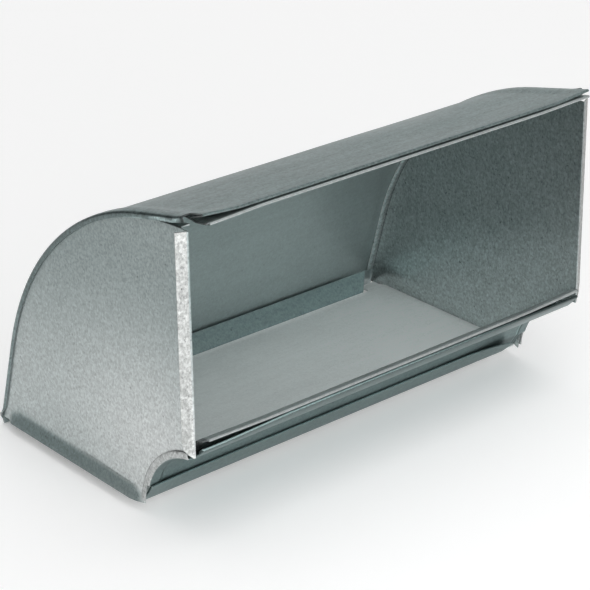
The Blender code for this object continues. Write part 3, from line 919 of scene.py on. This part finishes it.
def build_bottom_channel(materials):
    """Upper leg of the lower lip: hemmed nose, landing, and a leg lapped down the cove."""
    nose = (-2.0, 57.2)
    hem = list(reversed(fold_back(nose, (-1.0, 0.0), (0.0, -1.0), 4.0)))
    section = [(p, "hem") for p in hem]
    section += [(nose, "leg"), ((-0.4, 57.15), "leg"), ((1.4, 56.8), "leg"), ((3.2, 55.4), "leg")]
    section += [((6.2, 52.1), "leg"), ((9.4, 48.6), "lap")]
    for angle in (75.0, 72.0, 68.0, 65.0, 61.0, 58.0, 54.0, 51.0):
        section.append((polar((0.0, 0.0), ARCH_RADIUS, angle), "lap"))
    half = [0.0] + spaced(15.0, 135.0, 9) + [139.0, 142.0, LOWER_HEM_X, 145.6, 146.4, 147.4, LOWER_CHANNEL_X]
    columns = mirrored([(x,) for x in half])
    points = []
    crease_shade = []
    for (y, z), kind in section:
        for (x,) in columns:
            lift = (0.9 if x < 0 else 1.3) * smooth((abs(x) - 95.0) / 53.0) if kind != "lap" else 0.0
            up, out = crumple(x, y, z, LOWER_HEM_X, CRUMPLE) if kind == "leg" else (0.0, 0.0)
            lap_x = x if kind != "lap" else x * CHANNEL_LAP_X / LOWER_CHANNEL_X
            points.append((lap_x, y + out, z + lift + up))
            # painted shade at the crumpled ends
            crease_shade.append(0.7 * smooth((abs(x) - LOWER_HEM_X) / 2.0))
    count = len(columns)

    def keep(r, c):
        """Both legs end at the right; the hem also ends before the crumpled left end."""
        centre = 0.5 * (columns[c][0] + columns[c + 1][0])
        return centre < LIP_RIGHT_X and (section[r][1] != "hem" or centre > -LOWER_HEM_X)

    faces = grid_faces(len(section), count, keep)
    sheet_piece(
        "lower_lip_leg", "bottom_lip_channel", points, faces, materials, crease_shade
    )


def build_top_channel(materials):
    """Lower leg of the upper lip: hemmed nose and a leg lapped up under the hood top."""
    nose = (-1.2, 182.2)
    section = [(p, "hem") for p in reversed(fold_back(nose, (-1.0, 0.0), (0.0, -1.0), 6.0))]
    section += [(nose, "leg"), ((2.4, 181.4), "leg"), ((6.0, 180.6), "leg"), ((11.0, 179.6), "leg")]
    for y in (16.0, 20.0, 24.0, 28.0, 32.0):
        top = top_point(y)
        section.append(((top[0], top[1] - LAP - 0.05), "lap"))
    half = [0.0] + spaced(15.0, 120.0, 8) + [128.0, 134.0, 138.0, UPPER_HEM_X, 142.2, UPPER_CHANNEL_X]
    columns = mirrored([(x,) for x in half]) + [(144.6,), (UPPER_RIGHT_X,)]
    points = []
    crease_shade = []
    for (y, z), kind in section:
        for (x,) in columns:
            lapped = kind == "lap" or y > UPPER_LEG_Y
            lift = 0.0 if lapped else (1.0 if x > 0 else -1.2) * smooth((abs(x) - 100.0) / 44.0)
            up, out = crumple(x, y, z, UPPER_HEM_X, CRUMPLE) if kind == "leg" and x < 0 else (0.0, 0.0)
            if lapped:
                x = x * CHANNEL_LAP_X / (UPPER_RIGHT_X if x > 0 else UPPER_CHANNEL_X)
            points.append((x, y + out, z + lift + up))
            # painted shade at the crumpled left end
            crease_shade.append(0.7 * smooth((-x - UPPER_HEM_X) / 2.0))
    count = len(columns)

    def keep(r, c):
        """The hem ends before the crumpled left end."""
        return section[r][1] != "hem" or columns[c][0] > -UPPER_HEM_X - 0.1

    faces = grid_faces(len(section), count, keep)
    sheet_piece("upper_lip_leg", "top_lip_channel", points, faces, materials, crease_shade)


# ---- stage, lights and camera ----
def build_stage():
    """Plain pale floor."""
    mesh = bpy.data.meshes.new("studio_floor")
    corners = [(STAGE_SIZE * x, STAGE_SIZE * y, 0.0) for x, y in ((-1, -1), (1, -1), (1, 1), (-1, 1))]
    mesh.from_pydata(corners, [], [(0, 1, 2, 3)])
    mat, tree, shader = new_material("studio_paper")
    shader.inputs["Base Color"].default_value = (0.94, 0.94, 0.94, 1.0)
    shader.inputs["Roughness"].default_value = 0.85
    shader.inputs["Emission Color"].default_value = (1.0, 1.0, 1.0, 1.0)
    seen = node_of(tree, "ShaderNodeLightPath").outputs["Is Camera Ray"]
    tree.links.new(combined(tree, seen, PAPER_GLOW, "MULTIPLY"), shader.inputs["Emission Strength"])
    mesh.materials.append(mat)
    floor = bpy.data.objects.new("studio_floor", mesh)
    floor.location.z = -STAGE_DROP
    bpy.context.scene.collection.objects.link(floor)


def aim(obj, target):
    """Turn an object's -Z toward a point."""
    obj.rotation_mode = "QUATERNION"
    obj.rotation_quaternion = (Vector(target) - obj.location).to_track_quat("-Z", "Y")


def build_lights():
    """Soft surround made of broad lobes of light; the camera itself sees plain pale paper."""
    world = bpy.data.worlds.new("surround")
    world.use_nodes = True
    tree = world.node_tree
    tree.nodes.clear()
    way = node_of(tree, "ShaderNodeTexCoord").outputs["Generated"]
    total = None
    for azimuth, elevation, sharpness, strength in LOBES:
        turn = math.radians(azimuth)
        rise = math.radians(elevation)
        dot = node_of(tree, "ShaderNodeVectorMath", operation="DOT_PRODUCT")
        toward = (math.sin(turn) * math.cos(rise), math.cos(turn) * math.cos(rise), math.sin(rise))
        dot.inputs[1].default_value = toward
        tree.links.new(way, dot.inputs[0])
        lobe = combined(tree, dot.outputs["Value"], 0.0, "MAXIMUM")
        lobe = combined(tree, lobe, sharpness, "POWER")
        lobe = combined(tree, lobe, strength, "MULTIPLY")
        total = lobe if total is None else combined(tree, total, lobe, "ADD")
    soft = node_of(tree, "ShaderNodeBackground")
    tree.links.new(total, soft.inputs["Strength"])
    soft.inputs["Color"].default_value = (1.0, 1.0, 1.0, 1.0)
    pale = node_of(tree, "ShaderNodeBackground")
    pale.inputs["Color"].default_value = (PALE, PALE, PALE, 1.0)
    seen = node_of(tree, "ShaderNodeLightPath").outputs["Is Camera Ray"]
    both = node_of(tree, "ShaderNodeMixShader")
    tree.links.new(seen, both.inputs["Fac"])
    tree.links.new(soft.outputs["Background"], both.inputs[1])
    tree.links.new(pale.outputs["Background"], both.inputs[2])
    out = node_of(tree, "ShaderNodeOutputWorld")
    tree.links.new(both.outputs["Shader"], out.inputs["Surface"])
    bpy.context.scene.world = world
    for name, spot, target, width, height, power in BOXES:
        lamp = bpy.data.lights.new(name, "AREA")
        lamp.shape = "RECTANGLE"
        lamp.size = width
        lamp.size_y = height
        lamp.energy = power
        obj = bpy.data.objects.new(name, lamp)
        obj.location = spot
        obj.visible_camera = False
        bpy.context.scene.collection.objects.link(obj)
        aim(obj, target)


def build_camera():
    """Camera that looks down into the mouth from the left front."""
    turn = math.radians(CAMERA_TURN)
    dip = math.radians(CAMERA_DIP)
    roll = math.radians(CAMERA_ROLL)
    ahead = Vector((math.sin(turn) * math.cos(dip), math.cos(turn) * math.cos(dip), -math.sin(dip)))
    level = Vector((math.cos(turn), -math.sin(turn), 0.0))
    above = level.cross(ahead)
    right = level * math.cos(roll) + above * math.sin(roll)
    up = above * math.cos(roll) - level * math.sin(roll)
    lens = bpy.data.cameras.new("camera")
    lens.lens = CAMERA_LENS
    lens.sensor_width = SENSOR_WIDTH
    lens.clip_start = 0.05
    lens.clip_end = 60.0
    camera = bpy.data.objects.new("camera", lens)
    camera.matrix_world = Matrix((
        (right.x, up.x, -ahead.x, CAMERA_AT[0]),
        (right.y, up.y, -ahead.y, CAMERA_AT[1]),
        (right.z, up.z, -ahead.z, CAMERA_AT[2]),
        (0.0, 0.0, 0.0, 1.0),
    ))
    bpy.context.scene.collection.objects.link(camera)
    bpy.context.scene.camera = camera


def main():
    """Dress every node of the frame and set the scene."""
    edge = cut_edge("sheared_edge")
    # name, colour, roughness, spangle, streak, metallic, warmth
    hood = zinc("zinc_hood", (0.284, 0.360, 0.358), 0.38, 0.34, 0.13, 0.9)
    # a brighter copy of the hood's zinc for its inside: painted light in the shaded hood
    inner = zinc("zinc_hood_inner", (0.495, 0.570, 0.570), 0.36, 0.10, 0.03, 0.85)
    left = zinc("zinc_left_end", (0.385, 0.440, 0.437), 0.36, 0.26, 0.03, 0.9, 0.17)
    # a brighter copy of the end zinc: painted light on the shaded inside of the right end
    right = zinc("zinc_right_end", (0.446, 0.492, 0.492), 0.36, 0.34, 0.03, 0.9)
    # a near-white, barely metallic copy of the zinc: painted light on the floor inside the mouth
    floor = zinc("zinc_floor", (0.925, 0.950, 0.940), 0.45, 0.07, 0.03, 0.1)
    # also the painted shade on the floor's front strip and upstand
    cove = zinc("zinc_cove", (0.235, 0.305, 0.305), 0.36, 0.18, 0.06, 0.95)
    # speckled zinc, made brighter as painted light on the collars
    collar = zinc("zinc_collar", (0.600, 0.620, 0.615), 0.42, 0.34, 0.02, 0.8)
    flange = zinc("zinc_front_flange", (0.420, 0.432, 0.425), 0.40, 0.42, 0.02, 0.9)
    lower = zinc("zinc_lower_lip", (0.535, 0.575, 0.572), 0.36, 0.12, 0.06, 0.8)
    upper = zinc("zinc_upper_lip", (0.535, 0.575, 0.572), 0.36, 0.12, 0.06, 0.8)
    build_hood([inner, edge, hood])
    build_panel("left_end_plate", "left_end_panel", -1, [left, flange])
    build_panel("right_end_plate", "right_end_panel", 1, [right, flange])
    build_floor([floor, cove])
    build_cove([cove, collar])
    build_bottom_channel([lower, edge])
    build_top_channel([upper, edge])
    build_stage()
    build_lights()
    build_camera()
    bpy.context.scene.view_settings.view_transform = "Standard"


main()
